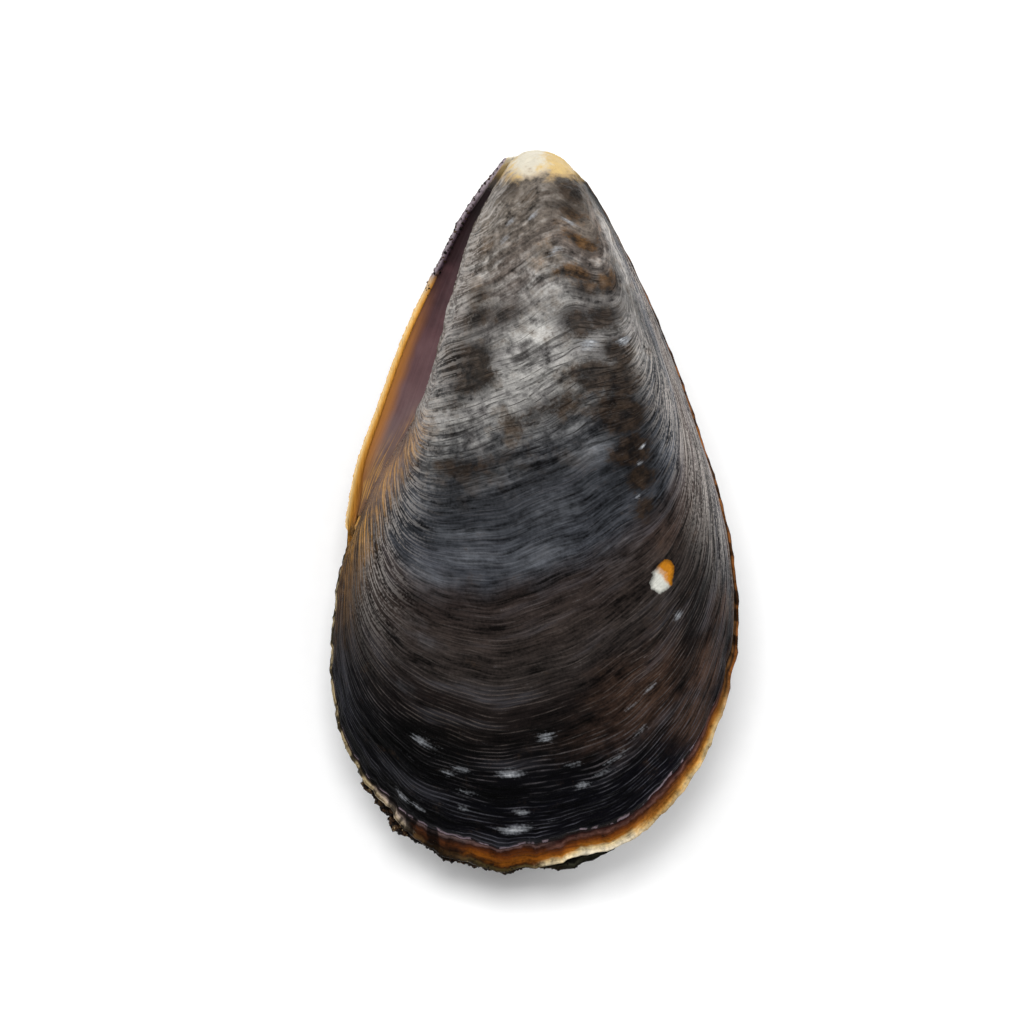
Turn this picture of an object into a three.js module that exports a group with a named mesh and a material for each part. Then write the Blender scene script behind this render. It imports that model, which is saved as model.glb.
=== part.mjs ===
import * as THREE from 'three';
import { mergeVertices } from 'three/addons/utils/BufferGeometryUtils.js';

// A whole mussel shell lying on its lower valve, as it comes to rest on a table.
// The umbo, the worn pointed end, is towards +Y, the hinge side is towards -X and the
// newest edge, the broad end, is towards -Y. Sizes are millimetres.
// The valves meet in a slightly tilted plane, and a valve's height is measured from it.

const valveHeight = 11.4;         // from the margin to the highest point of one valve
const wallThickness = 1.05;       // of a valve, square to its surface
const marginThickness = 0.55;     // of the wall at its newest edge
const edgeHeight = 0.4;           // of the upright rim round a valve
const valveGap = 0.36;            // between the two rims where the valves meet
const ventralRaise = 0.085;       // slope of the meeting plane, up towards the ventral side
const umboRaise = 0.13;           // slope of the meeting plane, up towards the umbo
const wornDepth = 0.22;           // of the flat worn patch that the shell rests on

const umboSteepness = 0.7;        // how a valve rises from the umbo, 1 is a straight wedge
const hingeFullness = 0.55;       // 1 is a round arch across the valve, less is a fuller one
const ventralFullness = 1;        // the same towards the ventral side
const crownRise = 0.3;            // share by which the crown near the umbo is domed
const crownAcross = 0.37;         // place of that dome between hinge side and ventral side
const crownWidth = 0.22;
const crownLength = 0.6;          // share of the growth over which the dome fades out

const ledgeCount = 7;             // growth ledges that stand out from a step away
const ledgeHeight = 0.22;
const ledgeShares = [0.35, 0.68, 0.9, 1];   // rows of one ledge, which falls off after the last but one
const wornUmbo = 0.3;             // share of the growth in which the ledges are worn away
const lipHeight = 0.35;           // fall from the old edge to the newest growth
const columnCount = 33;

const ligamentThickness = 0.9;
const ligamentEdge = 0.3;         // its thickness along both sides
const ligamentHollow = 0.3;       // how deep its outer face is hollowed
const ligamentSlices = 26;
const ligamentColumns = 4;

const { smoothstep, lerp, clamp } = THREE.MathUtils;

const curve = (rows) => new THREE.SplineCurve(rows.map(([x, y]) => new THREE.Vector2(x, y)));

// Outlines in plan. A margin runs from the hinge's lower end round the broad end to the umbo.
const upperValve = {
  side: 1,
  margin: curve([
    [-17.0, -1.2], [-17.4, -5.0], [-17.9, -9.5], [-18.0, -14.9], [-16.6, -20.8], [-13.6, -26.0],
    [-9.6, -29.9], [-3.2, -32.45], [2.4, -32.1], [7.4, -30.2], [11.2, -27.3], [14.5, -23.1],
    [17.0, -18.1], [18.4, -11.8], [18.2, -5.4], [17.0, 0.9], [15.0, 7.1], [12.9, 13.1],
    [10.2, 19.5], [7.4, 25.2], [5.2, 29.1], [3.5, 30.9],
  ]),
  umbo: curve([[-2.0, 31.7], [-0.8, 32.5], [0.8, 32.6], [2.4, 32.0], [3.5, 30.9]]),
  hinge: curve([
    [-2.0, 31.7], [-4.8, 27.0], [-6.5, 22.5], [-8.6, 14.5], [-10.7, 8.7], [-14.3, 3.3], [-17.0, -1.2],
  ]),
  newestGrowth: curve([[0, 0], [0.2, 0.5], [0.3, 2.2], [0.5, 2.2], [0.62, 0.7], [0.8, 0.4], [1, 0]]),
};

const lowerValve = {
  side: -1,
  margin: curve([
    [-17.0, -0.6], [-17.6, -5.0], [-18.3, -9.5], [-18.4, -14.9], [-17.0, -20.9], [-14.4, -26.2],
    [-10.3, -30.0], [-3.2, -32.4], [3.0, -32.3], [7.6, -30.4], [11.1, -27.5], [14.5, -23.3],
    [16.9, -18.1], [18.1, -11.8], [17.9, -5.4], [16.7, 0.9], [14.7, 7.1], [12.6, 13.1],
    [9.9, 19.5], [7.1, 25.2], [4.9, 28.9], [3.2, 30.6],
  ]),
  umbo: curve([[-2.6, 32.0], [-1.2, 32.2], [0.6, 32.2], [2.1, 31.7], [3.2, 30.6]]),
  hinge: curve([
    [-2.6, 32.0], [-6.0, 27.6], [-8.4, 23.0], [-11.5, 16.7], [-14.2, 9.5], [-16.0, 4.5], [-17.0, -0.6],
  ]),
  newestGrowth: curve([[0, 0], [1, 0]]),
};

// How fast each place on the margin has moved away from the umbo. The hinge end started
// fast, so old growth lines arch over the umbo and young ones hang down like a U.
function growthPace(c) {
  return 0.7 + 0.77 * smoothstep(c, 0, 0.42) - 0.47 * smoothstep(c, 0.45, 0.72);
}

// Plan position of the point that is t of the way in growth and c of the way round the margin.
function planPoint(valve, t, c) {
  const way = t ** growthPace(c);
  const place = valve.umbo.getPoint(c).lerp(valve.margin.getPoint(c), way);
  const straight = valve.hinge.getPoint(0).lerp(valve.hinge.getPoint(1), way);
  const bow = valve.hinge.getPoint(way).sub(straight);
  return place.addScaledVector(bow, 1 - smoothstep(c, 0, 0.4));
}

// Height of a valve's outer face over its rim: a long wedge that falls to the newest edge,
// arched from the hinge side to the ventral side.
function faceHeight(t, c) {
  const way = t ** growthPace(c);
  const top = umboSteepness / (umboSteepness + 1);
  const along = (way / top) ** umboSteepness * ((1 - way) / (1 - top));
  const fullness = lerp(hingeFullness, ventralFullness, smoothstep(c, 0.35, 0.9));
  const across = Math.abs(Math.sin(Math.PI * c)) ** fullness;
  const nearCrown = Math.exp(-(((c - crownAcross) / crownWidth) ** 2));
  const dome = 1 + crownRise * nearCrown * (1 - smoothstep(way, 0, crownLength));
  return valveHeight * along * across * dome;
}

function facePoint(valve, t, c) {
  const plan = planPoint(valve, t, c);
  return new THREE.Vector3(plan.x, plan.y, faceHeight(t, c));
}

// Outward direction of the outer face, from a short step each way.
function faceNormal(valve, t, c) {
  const step = 0.004;
  const alongGrowth = facePoint(valve, Math.min(t + step, 1), c).sub(facePoint(valve, Math.max(t - step, 0), c));
  const alongMargin = facePoint(valve, t, Math.min(c + step, 1)).sub(facePoint(valve, t, Math.max(c - step, 0)));
  return alongGrowth.cross(alongMargin).normalize();
}

// Relief of the outer face: ledges along the growth lines, and the old edge above the newest growth.
function relief(valve, t, c) {
  const fall = ledgeShares[ledgeShares.length - 2];
  const place = (t * ledgeCount) % 1;
  const ledge = place < fall ? place / fall : (1 - place) / (1 - fall);
  const strength = smoothstep(t, wornUmbo, 0.6) * (1 - smoothstep(t, 0.9, 0.97)) * Math.sin(Math.PI * c);
  const band = newestGrowthWidth(valve, c);
  const fromMargin = planPoint(valve, t, c).distanceTo(valve.margin.getPoint(c));
  const step = lipHeight * clamp(band, 0, 1) * (1 - smoothstep(fromMargin, band, band + 0.8));
  return ledgeHeight * ledge * strength - step;
}

function newestGrowthWidth(valve, c) {
  const { points } = valve.newestGrowth;
  const next = Math.max(points.findIndex((point) => point.x >= c), 1);
  const share = (c - points[next - 1].x) / (points[next].x - points[next - 1].x);
  return lerp(points[next - 1].y, points[next].y, share);
}

// Values of t for the rows of a valve's mesh, close together where the old edge steps down.
function growthRows() {
  const rows = [0, 0.015, 0.05];
  for (let ledge = 0; ledge < ledgeCount; ledge += 1) {
    rows.push(...ledgeShares.map((share) => (ledge + share) / ledgeCount));
  }
  rows.splice(-1, 0, 0.975);
  return rows;
}

// Height of the tilted plane in which the valves meet, over the plan's centre line.
function meetingPlane(x, y) {
  return umboRaise * y + ventralRaise * x;
}

// Depth of the lower valve's deepest point, less what is worn off it.
function restingDepth() {
  let deepest = 0;
  for (const t of growthRows()) {
    for (let column = 0; column <= columnCount; column += 1) {
      const point = facePoint(lowerValve, t, column / columnCount);
      deepest = Math.max(deepest, point.z - meetingPlane(point.x, point.y));
    }
  }
  return deepest + edgeHeight + valveGap / 2 - wornDepth;
}

// Joins loose triangles into one closed mesh and leaves out those with no area.
function closedGeometry(corners) {
  const loose = new THREE.BufferGeometry();
  loose.setAttribute('position', new THREE.Float32BufferAttribute(corners.flatMap((p) => [p.x, p.y, p.z]), 3));
  const merged = mergeVertices(loose, 1e-4);
  const { array } = merged.index;
  const kept = [];
  for (let i = 0; i < array.length; i += 3) {
    const [a, b, c] = array.slice(i, i + 3);
    if (a !== b && b !== c && c !== a) {
      kept.push(a, b, c);
    }
  }
  merged.setIndex(kept);
  merged.computeVertexNormals();
  return merged;
}

// Adds the two triangles of a four-cornered patch to a list of corners.
function addPatch(corners, a, b, c, d) {
  corners.push(a, b, c, a, c, d);
}

function addSheet(corners, grid, facesUp) {
  for (let i = 0; i < grid.length - 1; i += 1) {
    for (let j = 0; j < grid[i].length - 1; j += 1) {
      const patch = [grid[i][j], grid[i + 1][j], grid[i + 1][j + 1], grid[i][j + 1]];
      addPatch(corners, ...(facesUp ? patch : patch.reverse()));
    }
  }
}

// The upright rim between the edges of two sheets that lie over each other.
function addRim(corners, upper, lower) {
  const edge = (grid) => [
    ...grid.map((row) => row[0]),
    ...grid[grid.length - 1].slice(1),
    ...grid.map((row) => row[row.length - 1]).reverse().slice(1),
    ...grid[0].slice().reverse().slice(1),
  ];
  const high = edge(upper);
  const low = edge(lower);
  for (let i = 0; i < high.length - 1; i += 1) {
    addPatch(corners, high[i], low[i], low[i + 1], high[i + 1]);
  }
}

// One valve: an outer face, an inner face a wall's thickness inside it and a rim on the meeting plane.
function valveGeometry(valve) {
  const depth = restingDepth();
  const outer = [];
  const inner = [];
  for (const t of growthRows()) {
    const outerRow = [];
    const innerRow = [];
    for (let column = 0; column <= columnCount; column += 1) {
      const c = column / columnCount;
      const normal = faceNormal(valve, t, c);
      const point = facePoint(valve, t, c);
      const wall = lerp(wallThickness, marginThickness, smoothstep(t, 0.8, 1)) / Math.max(normal.z, 0.1);
      const hollow = Math.max(point.z + edgeHeight - wall, 0);
      innerRow.push(inPlace(valve, point.x, point.y, hollow, depth));
      const inside = t > 0 && t < 1 && c > 0 && c < 1;
      const raised = inside ? point.clone().addScaledVector(normal, relief(valve, t, c)) : point;
      outerRow.push(inPlace(valve, raised.x, raised.y, raised.z + edgeHeight, depth));
    }
    outer.push(outerRow);
    inner.push(innerRow);
  }
  const corners = [];
  const isUpper = valve.side > 0;
  addSheet(corners, outer, isUpper);
  addSheet(corners, inner, !isUpper);
  addRim(corners, isUpper ? outer : inner, isUpper ? inner : outer);
  return closedGeometry(corners);
}

// Sets a height on its valve's side of the meeting plane, and flattens what would go through the table.
function inPlace(valve, x, y, height, depth) {
  const z = depth + meetingPlane(x, y) + valve.side * (height + valveGap / 2);
  return new THREE.Vector3(x, y, Math.max(z, 0));
}

// The brown band that held the valves together: it starts inside the lower valve's rim,
// shows between the two valves and ends under the upper valve's edge.
function ligamentGeometry() {
  const depth = restingDepth();
  const top = [];
  const bottom = [];
  for (let slice = 0; slice <= ligamentSlices; slice += 1) {
    const s = lerp(0.1, 0.93, slice / ligamentSlices);
    const left = lowerValve.hinge.getPoint(s).add(new THREE.Vector2(1.15, -0.35));
    const right = upperValve.hinge.getPoint(s).add(new THREE.Vector2(0.7, -0.2));
    const fullness = Math.sin(Math.PI * (slice + 0.5) / (ligamentSlices + 1)) ** 0.5;
    const topRow = [];
    const bottomRow = [];
    for (let column = 0; column <= ligamentColumns; column += 1) {
      const p = column / ligamentColumns;
      const place = left.clone().lerp(right, p);
      const arch = 4 * p * (1 - p) * fullness;
      const high = depth + meetingPlane(place.x, place.y) - valveGap - ligamentHollow * arch;
      const thickness = lerp(ligamentEdge, ligamentThickness, arch);
      topRow.push(new THREE.Vector3(place.x, place.y, high));
      bottomRow.push(new THREE.Vector3(place.x, place.y, high - thickness));
    }
    top.push(topRow);
    bottom.push(bottomRow);
  }
  const corners = [];
  addSheet(corners, top, true);
  addSheet(corners, bottom, false);
  addRim(corners, top, bottom);
  return closedGeometry(corners);
}

function piece(name, geometry, color, roughness) {
  const mesh = new THREE.Mesh(geometry, new THREE.MeshStandardMaterial({ color, roughness, metalness: 0 }));
  mesh.name = name;
  return mesh;
}

const shell = new THREE.Group();
shell.add(piece('upper_valve', valveGeometry(upperValve), 0x2f3136, 0.42));
shell.add(piece('lower_valve', valveGeometry(lowerValve), 0x26272c, 0.45));
shell.add(piece('ligament', ligamentGeometry(), 0x5a4343, 0.55));

export default shell;
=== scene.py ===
import math
from functools import partial, reduce
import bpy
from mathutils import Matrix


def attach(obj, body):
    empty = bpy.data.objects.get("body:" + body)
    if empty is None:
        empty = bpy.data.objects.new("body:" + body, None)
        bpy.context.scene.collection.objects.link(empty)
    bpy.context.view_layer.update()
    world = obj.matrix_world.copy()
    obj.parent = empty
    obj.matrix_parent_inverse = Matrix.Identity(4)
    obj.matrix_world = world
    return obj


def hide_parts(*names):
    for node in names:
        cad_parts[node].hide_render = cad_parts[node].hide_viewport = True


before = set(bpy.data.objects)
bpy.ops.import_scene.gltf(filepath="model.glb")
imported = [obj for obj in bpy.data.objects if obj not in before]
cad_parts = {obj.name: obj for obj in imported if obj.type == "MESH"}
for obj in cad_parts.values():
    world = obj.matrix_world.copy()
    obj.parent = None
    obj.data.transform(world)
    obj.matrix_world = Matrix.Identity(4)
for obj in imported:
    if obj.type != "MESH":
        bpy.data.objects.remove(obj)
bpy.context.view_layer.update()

from types import SimpleNamespace

import bmesh
import bpy
import numpy as np

print("frame loaded with", ", ".join(sorted(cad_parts)))

# The shell is shaped in millimetres, seen in plan with the umbo up and the hinge to the left,
# and each finished mesh is set down in metres. Its growth lines are the lines of equal t, from
# the umbo at 0 to the newest edge at 1. c goes round the edge, from the hinge's lower end at 0
# by the broad end to the umbo's right at 1.
mm = 0.001

# What both valves share.
shellForm = {
    "valveHeight": 11.4,
    "edgeHeight": 0.4,
    "valveGap": 0.36,
    "ventralRaise": 0.085,      # slope of the plane in which the valves meet, up to the right
    "umboRaise": 0.13,          # the same, up towards the umbo
    "wornDepth": 0.22,          # of the flat that the shell lies on
    "umboSteepness": 0.7,
    "hingeFullness": 0.55,
    "ventralFullness": 1.0,
    "crownRise": 0.3,
    "crownAcross": 0.37,
    "crownWidth": 0.22,
    "crownLength": 0.6,
    "wall": 1.05,
    "marginWall": 0.55,
    "growthLength": 64.0,       # from the umbo to the newest edge, the longest way
    "hingePace": 0.7,           # exponent of growth at the hinge, with its gain towards the broad
    "broadGain": 0.77,          # end and its loss again towards the umbo's right
    "umboLoss": 0.47,
    "broadEnd": 0.42,           # the broad end's c
    "edgeStart": 0.93,          # t from which the edge's unevenness is felt
    "lipSlope": 0.22,           # width of the step up from the newest growth
    "ledgeCount": 7,
    "ledgeHeight": 0.12,
    "crustReach": 0.55,         # how far in from the edge the crust reaches
    "hingeRidge": 0.15,         # height of the lower valve's ridge beside the ligament
}

# How finely the valves are meshed.
shellMesh = {
    "rows": {1: 330, -1: 300},  # along the growth, by the valve's side
    "columns": 236,
    "innerStep": 10,            # outer rows for each row of the smooth inner face
    "rimRings": 4,
    "rimBulge": 0.13,
}

# What the attribute "inside" says of each vertex.
outerKind, rimKind, innerKind = 0, 0.5, 1

# Spots are (x, y, half length along the growth lines, half width across them, strength).
upperValve = {
    "name": "upper_shell",
    "node": "upper_valve",
    "side": 1,
    "margin": [
        (-16.1, -1), (-17.5, -4.9), (-18.15, -9.5), (-18.4, -14.9), (-17.2, -20.9), (-13.9, -26.2),
        (-9.8, -30.2), (-3.6, -32.5), (2.4, -32.2), (7.5, -30.6), (11.4, -27.5), (14.75, -23.3),
        (17.05, -18.1), (18.4, -11.8), (18.2, -5.4), (17, 0.9), (15, 7.1), (12.9, 13.1),
        (10.2, 19.5), (7.4, 25.2), (5.2, 29.1), (3.5, 30.9),
    ],
    "umbo": [(-2, 31.7), (-0.8, 32.5), (0.8, 32.6), (2.4, 32), (3.5, 30.9)],
    "hinge": [(-2, 31.7), (-4.8, 27), (-6.5, 22.5), (-8.6, 14.5), (-10.7, 8.7), (-13.9, 3.5), (-16.1, -1)],
    "bandPlaces": [0, 0.2, 0.25, 0.3, 0.5, 0.62, 0.8, 1],
    "bandWidths": [0, 0.4, 0.85, 2, 2.2, 0.8, 0.5, 0],
    "lipHeight": 0.3,
    # Bites out of the edge as (c, half width in c, depth).
    "bites": [
        (0.012, 0.01, 0.3), (0.247, 0.01, 0.25), (0.318, 0.01, 0.2), (0.352, 0.008, 0.3),
        (0.398, 0.036, 0.7), (0.56, 0.01, 0.12), (0.6, 0.006, 0.15),
    ],
    "roughPlaces": [0, 0.1, 0.3, 0.4, 0.5, 1],
    "roughness": [0.05, 0.1, 0.12, 0.12, 0.05, 0.04],
    "flecks": [
        (1, -20, 0.7, 0.6, 1), (-2.1, -23.4, 1.3, 0.35, 1.1), (-6.6, -23, 0.9, 0.3, 0.9),
        (-7.8, -23.5, 0.6, 0.35, 0.9), (-10.2, -20.5, 1, 0.4, 1), (-6.1, -25.2, 0.9, 0.25, 0.9),
        (-6.3, -26.6, 0.7, 0.3, 0.8), (-1.2, -27, 0.6, 0.3, 1), (-1.7, -28.6, 1.4, 0.45, 1.1),
        (4.3, -24.4, 0.6, 0.35, 1), (3.8, -22.3, 1, 0.22, 0.8), (7.4, -21.9, 1.3, 0.25, 0.8),
        (9.6, -19.6, 1.3, 0.3, 0.8), (6.2, -23.4, 0.9, 0.25, 0.8), (12.9, -9, 0.5, 0.8, 0.9),
        (-11.8, -25.6, 0.9, 0.3, 1), (-10.5, -26.6, 0.9, 0.28, 1), (9.2, 1.6, 0.35, 0.35, 1),
        (10.4, -15.5, 0.9, 0.25, 0.7), (8.8, -17.3, 0.8, 0.22, 0.7), (0, 26.4, 0.6, 0.4, 0.9),
        (-2.1, 26, 0.6, 0.4, 0.9), (3.1, 25.9, 0.8, 0.35, 0.9), (1.8, 23.4, 0.8, 0.3, 0.9),
        (4.8, 15.1, 0.9, 0.6, 1), (7.9, 15.4, 0.7, 0.8, 0.9), (-2.6, 24.4, 0.7, 0.3, 0.8),
        (9.6, 6.1, 0.35, 0.3, 0.9), (9.3, 4.6, 0.3, 0.35, 0.8),
    ],
    # Haze spots: weathered patches, and on the crown a painted highlight.
    "haze": [
        (-10, -5.6, 3, 2, 0.9), (-10.6, 1, 1.8, 2.5, 0.8), (1.5, 20.5, 2.2, 3, 1), (11.2, 6, 1, 4, 0.7),
        (-8.4, 9.2, 2.2, 1.6, 1), (-6.4, -1.8, 2.6, 0.7, 1), (-5.6, -3.9, 3, 0.8, 0.9),
        (0.6, -3.6, 3, 1.2, 0.8), (-9.8, -11.3, 1.7, 1.1, 1), (-11.7, -15.4, 1.6, 1.2, 0.9),
        (-1, 12.5, 4, 4, 1), (5.4, 6, 2.4, 1.8, 1.2), (-5.6, 18.4, 2.4, 2.5, 1), (3, 19, 2, 1.5, 0.7),
        (-5.6, 22.6, 1, 2.4, 0.8), (-3.4, 27, 1, 2, 0.7), (0.2, 15.8, 2.4, 2, 1.5),
        (1.6, 0.4, 3, 1.6, 0.8), (8, -4.6, 2.4, 2.6, 0.6), (-13.3, -6, 1.4, 3, 0.8),
        (-10.6, -9.6, 2, 1.4, 0.8), (-4.2, 3, 3, 1.2, 0.7), (-7.1, 18.2, 1.3, 3.2, 1.1),
        (-4.2, 21.8, 1.6, 1.4, 1),
    ],
    "stains": [
        (3.7, 28.9, 1.7, 1.6, 1.3), (4.3, 24, 1.5, 0.8, 1.3), (3.7, 21.4, 1.3, 0.8, 1.3),
        (-6, 13.4, 2, 2.4, 1.4), (-5.2, 17.4, 1.8, 1.2, 1), (-5.6, 11.6, 1.8, 1.2, 1.2),
        (6, 17.4, 1.6, 1.4, 1.3), (4.4, 16.4, 1.2, 0.8, 1), (7.4, 14.6, 1.3, 2.2, 1.2),
        (7.9, 12, 1.5, 3, 1.7), (7.7, 8.8, 1.7, 3, 1.9), (8.6, 5.6, 1.5, 3, 1.8),
        (9.4, 3.4, 1.2, 2.4, 1.6), (9.9, 0.6, 1.1, 2, 1.2), (-2.2, 29, 1.6, 0.8, 0.6),
        (5.6, 26.4, 1.2, 1, 0.6), (4.6, 20, 1.4, 1.4, 0.9), (-4.6, 4.6, 2.4, 1, 0.9),
        (-7.4, 4.2, 1.6, 1, 0.8), (-4.6, 19.4, 1, 1, 0.6), (0.8, 9.2, 3, 1.2, 0.8),
        (5.4, 12.4, 1.6, 2.6, 1.2), (-7, 10, 1.4, 1.2, 0.6), (3.8, 17.2, 1.5, 1.6, 1.1),
        (6.6, 20.4, 1.3, 2, 0.9), (3.3, 26.8, 1.5, 1.2, 0.8), (-2.8, 17.6, 1.8, 0.9, 0.8),
    ],
    "browns": [
        (9.5, -16, 5, 6, 0.9), (15.6, -13.5, 3, 4, 1.1), (14.4, -18.3, 2.6, 4, 1.1),
        (5, -19.5, 3.5, 3, 0.6), (17, -8.5, 2.4, 3, 0.8), (12, -1.5, 2.5, 3, 0.5),
    ],
    "chip": [(11.3, -6, 0.92, 3, 1), (11.5, -5.4, 0.92, 3, 1), (11.7, -4.85, 0.8, 3, 1)],
    "chipDepth": 0.14,
    # Size of the lumps on the edge at places round it, and on the upper hinge.
    "crustPlaces": [0, 0.14, 0.18, 0.24, 0.3, 0.36, 0.37, 1],
    "crustSizes": [0, 0, 0.07, 0.06, 0.1, 0.08, 0, 0],
    "hingeCrust": 0,
    "seed": 3.0,
}

lowerValve = {
    "name": "lower_shell",
    "node": "lower_valve",
    "side": -1,
    "margin": [
        (-17, -0.6), (-17.3, -5), (-17.9, -9.5), (-18.1, -14.9), (-16.9, -20.9), (-14.4, -26.3),
        (-10.4, -30.35), (-4, -32.5), (2.9, -32.3), (7.4, -30.3), (10.5, -27.2), (14, -22.9),
        (16.7, -18), (18, -11.8), (17.9, -5.4), (16.7, 0.9), (14.7, 7.1), (12.6, 13.1),
        (9.9, 19.5), (7.1, 25.2), (4.9, 28.9), (3.2, 30.6),
    ],
    "umbo": [(-2.6, 32), (-1.2, 32.2), (0.6, 32.2), (2.1, 31.7), (3.2, 30.6)],
    "hinge": [(-2.6, 32), (-6, 27.6), (-8.4, 23), (-11.5, 16.7), (-14.2, 9.5), (-16, 4.5), (-17, -0.6)],
    "bandPlaces": [0, 0.2, 0.35, 0.5, 0.7, 1],
    "bandWidths": [0, 0.8, 1.6, 1.4, 0.5, 0],
    "lipHeight": 0.2,
    "bites": [(0.026, 0.013, 0.8), (0.12, 0.01, 0.2), (0.29, 0.012, 0.25), (0.36, 0.01, 0.4)],
    "roughPlaces": [0, 0.12, 0.2, 0.34, 0.42, 0.5, 1],
    "roughness": [0.03, 0.1, 0.28, 0.3, 0.12, 0.06, 0.04],
    "flecks": [
        (4, -18, 1.2, 0.3, 1), (-3, -21, 1, 0.3, 1), (-8, -12, 0.8, 0.3, 0.9), (6, 4, 0.7, 0.5, 1),
        (-4, 16, 0.8, 0.5, 0.9), (9, -8, 0.9, 0.3, 0.9),
    ],
    "haze": [(0, 8, 5, 6, 1), (-5, -6, 4, 1.5, 0.8), (5, 18, 3, 3, 0.8), (8, -2, 4, 2, 0.6)],
    "stains": [(-3, 22, 2, 1.2, 1), (5, 12, 2, 2, 0.9), (-7, 3, 2.4, 1.5, 0.8)],
    "browns": [(4, -14, 5, 4, 0.9), (-9, -20, 4, 3, 0.7)],
    "chip": [],
    "chipDepth": 0,
    "crustPlaces": [0, 0.1, 0.16, 0.22, 0.28, 0.32, 0.38, 0.44, 1],
    "crustSizes": [0, 0, 0.1, 0.22, 0.26, 0.18, 0.12, 0, 0],
    "hingeCrust": 0.14,
    "seed": 11.0,
}


def smoothstep(value, low, high):
    share = np.clip((value - low) / (high - low), 0, 1)
    return share * share * (3 - 2 * share)


def unit(vectors):
    return vectors / np.maximum(np.linalg.norm(vectors, axis=-1, keepdims=True), 1e-9)


# A smooth curve through given points, read at a share of the way through them.
def smoothPath(points, share):
    points = np.array(points, float)
    last = len(points) - 1
    place = np.clip(share, 0, 1) * last
    start = np.minimum(place.astype(int), last - 1)
    rest = (place - start)[..., None]
    before, here, there, after = (points[np.clip(start + step, 0, last)] for step in (-1, 0, 1, 2))
    leave = (there - before) / 2
    arrive = (after - here) / 2
    bend = (2 * here - 2 * there + leave + arrive) * rest ** 3
    lean = (3 * there - 3 * here - 2 * leave - arrive) * rest ** 2
    return bend + lean + leave * rest + here


# How far each place round the margin has moved away from the umbo: the hinge end started fast.
def growthWay(t, c):
    form = shellForm
    gain = form["broadGain"] * smoothstep(c, 0, form["broadEnd"])
    return t ** (form["hingePace"] + gain - form["umboLoss"] * smoothstep(c, 0.45, 0.72))


# The growth that the finish goes by, which is the broad end's.
def broadGrowth(t):
    return growthWay(t, np.full_like(t, shellForm["broadEnd"]))


def planPlace(valve, t, c):
    way = growthWay(t, c)[..., None]
    place = smoothPath(valve["umbo"], c) * (1 - way) + smoothPath(valve["margin"], c) * way
    first, last = (np.array(valve["hinge"][end]) for end in (0, -1))
    bow = smoothPath(valve["hinge"], way[..., 0]) - (first + (last - first) * way)
    return place + bow * (1 - smoothstep(c, 0, 0.4))[..., None]


def faceHeight(t, c):
    form = shellForm
    way = growthWay(t, c)
    top = form["umboSteepness"] / (form["umboSteepness"] + 1)
    along = (way / top) ** form["umboSteepness"] * (1 - way) / (1 - top)
    fuller = form["ventralFullness"] - form["hingeFullness"]
    fullness = form["hingeFullness"] + fuller * smoothstep(c, 0.35, 0.9)
    across = np.abs(np.sin(math.pi * c)) ** fullness
    nearCrown = np.exp(-((c - form["crownAcross"]) / form["crownWidth"]) ** 2)
    dome = 1 + form["crownRise"] * nearCrown * (1 - smoothstep(way, 0, form["crownLength"]))
    return form["valveHeight"] * along * across * dome


def facePlace(valve, t, c):
    return np.concatenate([planPlace(valve, t, c), faceHeight(t, c)[..., None]], -1)


def faceNormal(valve, t, c):
    step = 0.004
    growing = facePlace(valve, np.minimum(t + step, 1), c) - facePlace(valve, np.maximum(t - step, 0), c)
    around = facePlace(valve, t, np.minimum(c + step, 1)) - facePlace(valve, t, np.maximum(c - step, 0))
    return unit(np.cross(growing, around))


def meetingPlane(x, y):
    return shellForm["umboRaise"] * y + shellForm["ventralRaise"] * x


# Rows get closer towards the newest edge, and columns towards the hinge side.
def growthGrid(rows, columns):
    t = np.linspace(0, 1, rows + 1) ** 0.75
    u = np.linspace(0, 1, columns + 1)
    return np.meshgrid(t, 0.62 * u + 0.38 * u * u, indexing="ij")


# How far under the middle of the valves' meeting plane the lower valve reaches.
def restingDepth():
    place = facePlace(lowerValve, *growthGrid(120, 120))
    deepest = (place[..., 2] - meetingPlane(place[..., 0], place[..., 1])).max()
    return deepest + shellForm["edgeHeight"] + shellForm["valveGap"] / 2 - shellForm["wornDepth"]


shellDepth = restingDepth()


# Sets heights over the meeting plane on their valve's side of it, in metres.
def setDown(side, place):
    x, y, height = np.moveaxis(place, -1, 0)
    z = shellDepth + meetingPlane(x, y) + side * (height + shellForm["valveGap"] / 2)
    return np.stack([x, y, np.maximum(z, 0)], -1) * mm


# Repeatable unevenness between about -1 and 1 from a few sine waves.
def unevenness(way, seed):
    waves = [np.sin(way * (1.9 ** k) + seed * (k + 1) * 2.3) / (k + 1) ** 0.5 for k in range(6)]
    return sum(waves) / 2.2


# How far the edge is drawn in at each place round it: bites, and a general unevenness.
def edgeShift(valve, c):
    shift = np.zeros_like(c)
    for place, halfWidth, depth in valve["bites"]:
        shift += depth * np.exp(-((c - place) / halfWidth) ** 2)
    rough = np.interp(c, valve["roughPlaces"], valve["roughness"])
    shift += rough * (unevenness(c * 160, valve["seed"]) + 0.4)
    return shift * smoothstep(c, 0, 0.01) * (1 - smoothstep(c, 0.96, 1))


# The way in plan that each place of the margin is moved by that.
def marginShift(valve, c):
    step = 0.002
    ahead, behind = (smoothPath(valve["margin"], np.clip(c + way, 0, 1)) for way in (step, -step))
    run = ahead - behind
    return unit(np.stack([-run[..., 1], run[..., 0]], -1)) * edgeShift(valve, c)[..., None]


def marginDistance(valve, place, c):
    margin = smoothPath(valve["margin"], c) + marginShift(valve, c)
    return np.linalg.norm(place[..., :2] - margin, axis=-1)


def unevenFace(valve, t, c):
    place = facePlace(valve, t, c)
    place[..., :2] += marginShift(valve, c) * smoothstep(t, shellForm["edgeStart"], 1)[..., None]
    return place


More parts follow.
